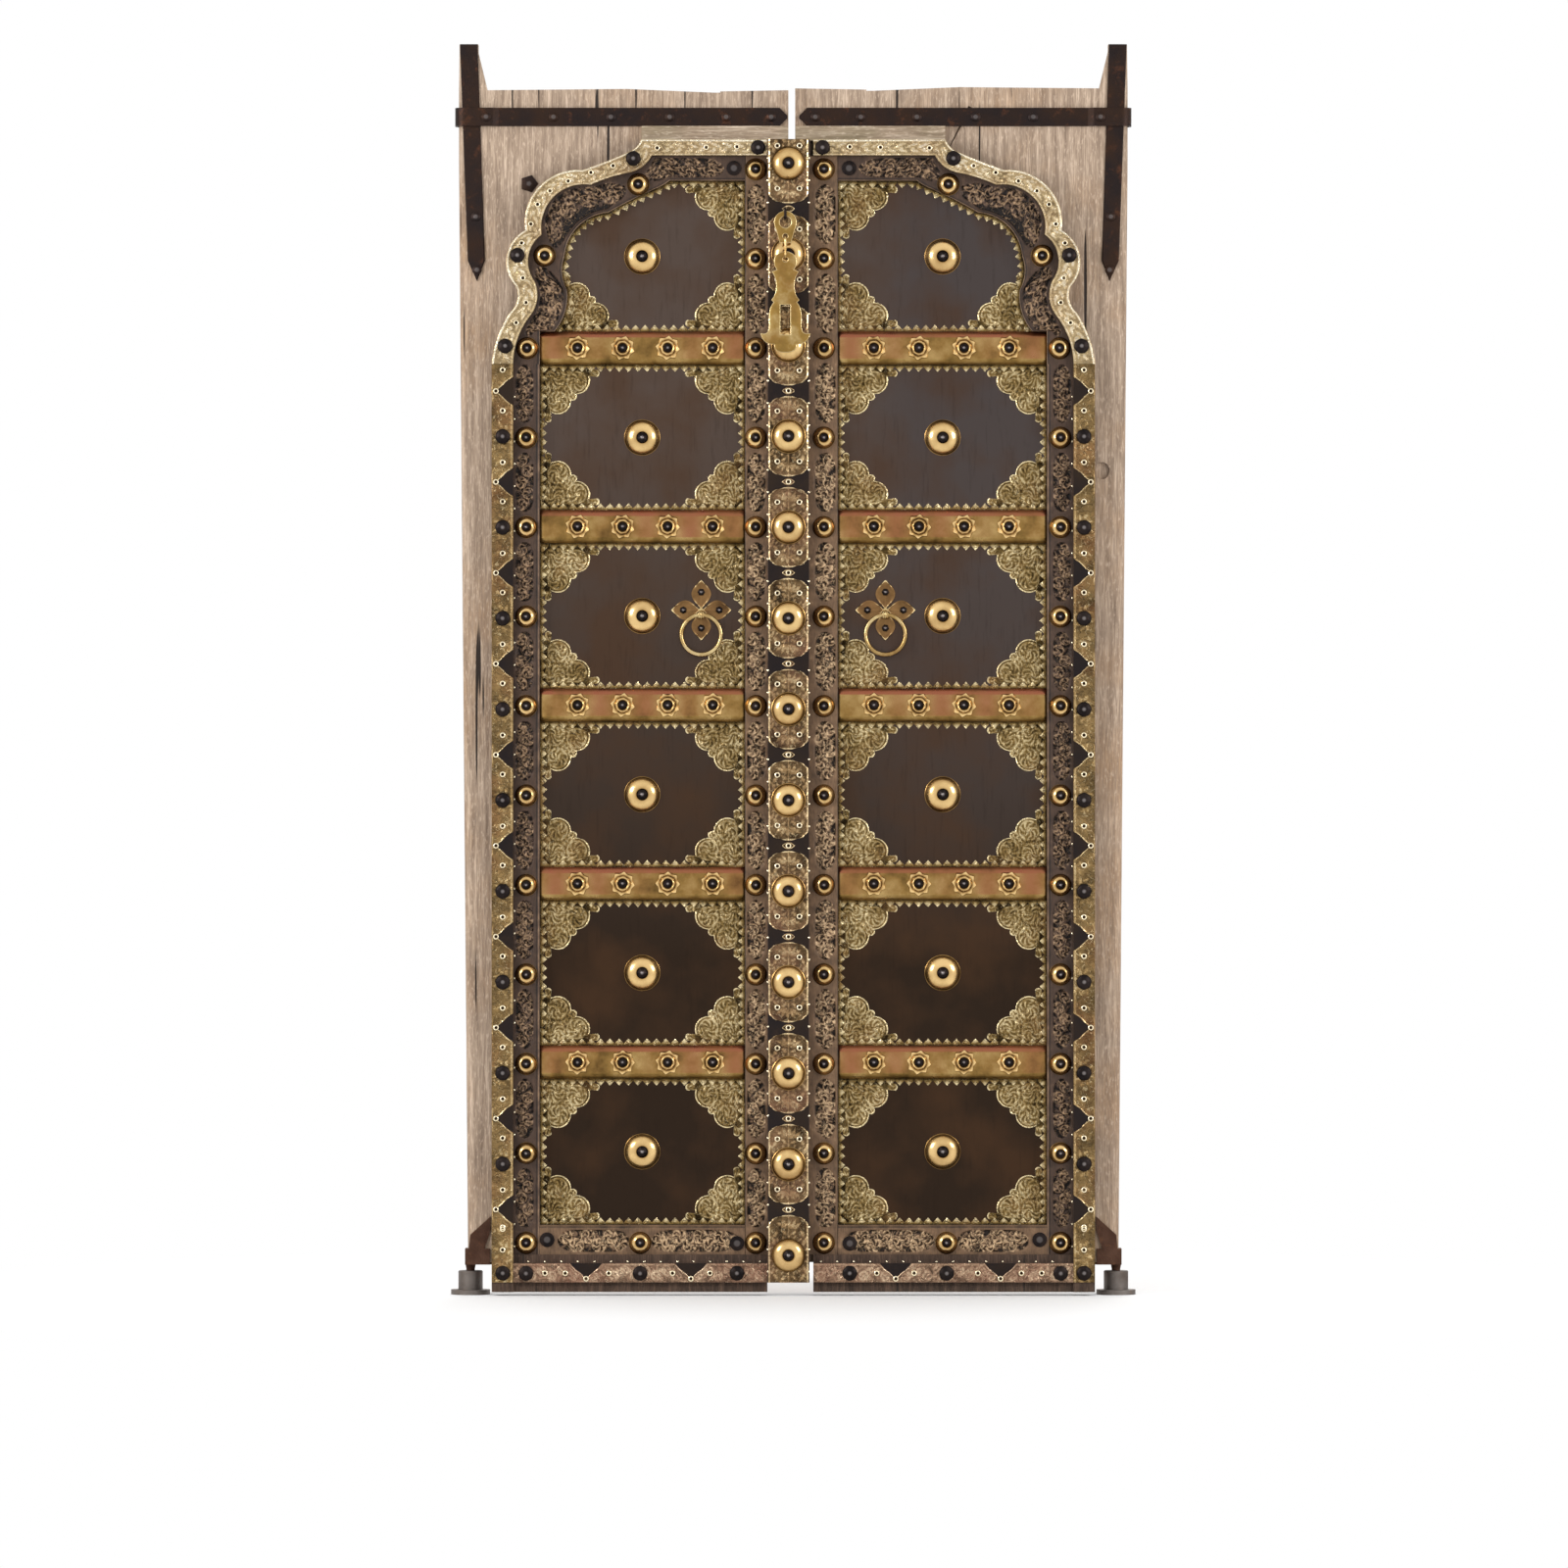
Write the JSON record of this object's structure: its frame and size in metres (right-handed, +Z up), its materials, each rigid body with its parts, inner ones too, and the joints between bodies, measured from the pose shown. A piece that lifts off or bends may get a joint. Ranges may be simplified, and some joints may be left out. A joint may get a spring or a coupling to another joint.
{
  "type": "double door",
  "caption": "Pair of old wooden door leaves hung on pivots, faced with iron panels, brass rails, carved strips, domes, ring pulls and a hasp.",
  "frame": {"origin": "on the floor, at the line where the leaves meet, in the plane of the boards' front faces", "axes": "+Z up, -Y out of the decorated front, +X to the right seen from the front; both leaves open towards +Y"},
  "size_m": [1.12, 0.1286, 2.044],
  "materials": {
    "weathered_wood": "grey, dry, weathered",
    "dark_wood": "dark, worn",
    "carved_wood": "dark, waxed on the high places",
    "forged_iron": "dark, rusted at the edges",
    "sheet_iron": "brown-black, smooth, waxed",
    "sheet_brass": "old, tarnished",
    "rail_brass": "old, rubbed bright",
    "polished_brass": "rubbed bright"
  },
  "bodies": {
    "sockets": {"left_floor_socket": "forged_iron", "right_floor_socket": "forged_iron"},
    "left_leaf": {"left_pivot_board": "weathered_wood", "left_meeting_board": "weathered_wood", "left_filler_strip": "weathered_wood", "left_top_strap": "forged_iron", "left_pivot_strap": "forged_iron", "left_pivot_shoe": "forged_iron", "left_side_moulding": "dark_wood", "left_bottom_moulding": "dark_wood", "left_arch_moulding": "dark_wood", "left_band_iron": "sheet_iron", "left_band_brass": "sheet_brass", "left_carved_arch": "carved_wood", "left_carved_side": "carved_wood", "left_carved_stile": "carved_wood", "left_carved_rail": "carved_wood", "left_rails": "rail_brass", "left_panels": "sheet_iron", "left_panel_trim": "sheet_brass", "left_domes": "polished_brass", "left_rosettes": "polished_brass", "left_nails": "forged_iron", "left_pins": "polished_brass", "left_ring_plate": "polished_brass", "left_ring_eye": "polished_brass", "astragal": "dark_wood", "astragal_iron": "sheet_iron", "astragal_plaques": "sheet_brass", "hasp_staple": "forged_iron"},
    "right_leaf": {"right_pivot_board": "weathered_wood", "right_meeting_board": "weathered_wood", "right_filler_strip": "weathered_wood", "right_top_strap": "forged_iron", "right_pivot_strap": "forged_iron", "right_pivot_shoe": "forged_iron", "right_side_moulding": "dark_wood", "right_bottom_moulding": "dark_wood", "right_arch_moulding": "dark_wood", "right_band_iron": "sheet_iron", "right_band_brass": "sheet_brass", "right_carved_arch": "carved_wood", "right_carved_side": "carved_wood", "right_carved_stile": "carved_wood", "right_carved_rail": "carved_wood", "right_rails": "rail_brass", "right_panels": "sheet_iron", "right_panel_trim": "sheet_brass", "right_domes": "polished_brass", "right_rosettes": "polished_brass", "right_nails": "forged_iron", "right_pins": "polished_brass", "right_ring_plate": "polished_brass", "right_ring_eye": "polished_brass"},
    "left_ring": {"left_ring": "polished_brass"},
    "right_ring": {"right_ring": "polished_brass"},
    "hasp_link": {"hasp_link": "polished_brass"},
    "hasp_loop": {"hasp_loop": "polished_brass"},
    "hasp_plate": {"hasp_plate": "polished_brass"}
  },
  "joints": [
    {"name": "right_leaf_swing", "type": "hinge", "parent": "sockets", "child": "right_leaf", "pos_m": [0.528, 0.016, 0], "axis": [0, 0, -1], "range_deg": [0, 110]},
    {"name": "left_leaf_swing", "type": "hinge", "parent": "sockets", "child": "left_leaf", "pos_m": [-0.528, 0.016, 0], "axis": [0, 0, 1], "range_deg": [0, 55]},
    {"name": "left_ring_swing", "type": "hinge", "parent": "left_leaf", "child": "left_ring", "pos_m": [-0.1505, -0.013, 1.111], "axis": [-1, 0, 0], "range_deg": [0, 150]},
    {"name": "right_ring_swing", "type": "hinge", "parent": "right_leaf", "child": "right_ring", "pos_m": [0.1505, -0.013, 1.111], "axis": [-1, 0, 0], "range_deg": [0, 150]},
    {"name": "hasp_link_swing", "type": "hinge", "parent": "left_leaf", "child": "hasp_link", "pos_m": [-0.013, -0.0715, 1.763], "axis": [-1, 0, 0], "range_deg": [0, 90]},
    {"name": "hasp_loop_swing", "type": "hinge", "parent": "hasp_link", "child": "hasp_loop", "pos_m": [-0.013, -0.0715, 1.7189], "axis": [-1, 0, 0], "range_deg": [0, 30]},
    {"name": "hasp_plate_swing", "type": "hinge", "parent": "hasp_loop", "child": "hasp_plate", "pos_m": [-0.013, -0.0715, 1.6972], "axis": [-1, 0, 0], "range_deg": [0, 60]}
  ],
  "couplings": [
    {"joint": "left_leaf_swing", "follows": "right_leaf_swing", "ratio": 0.5}
  ]
}
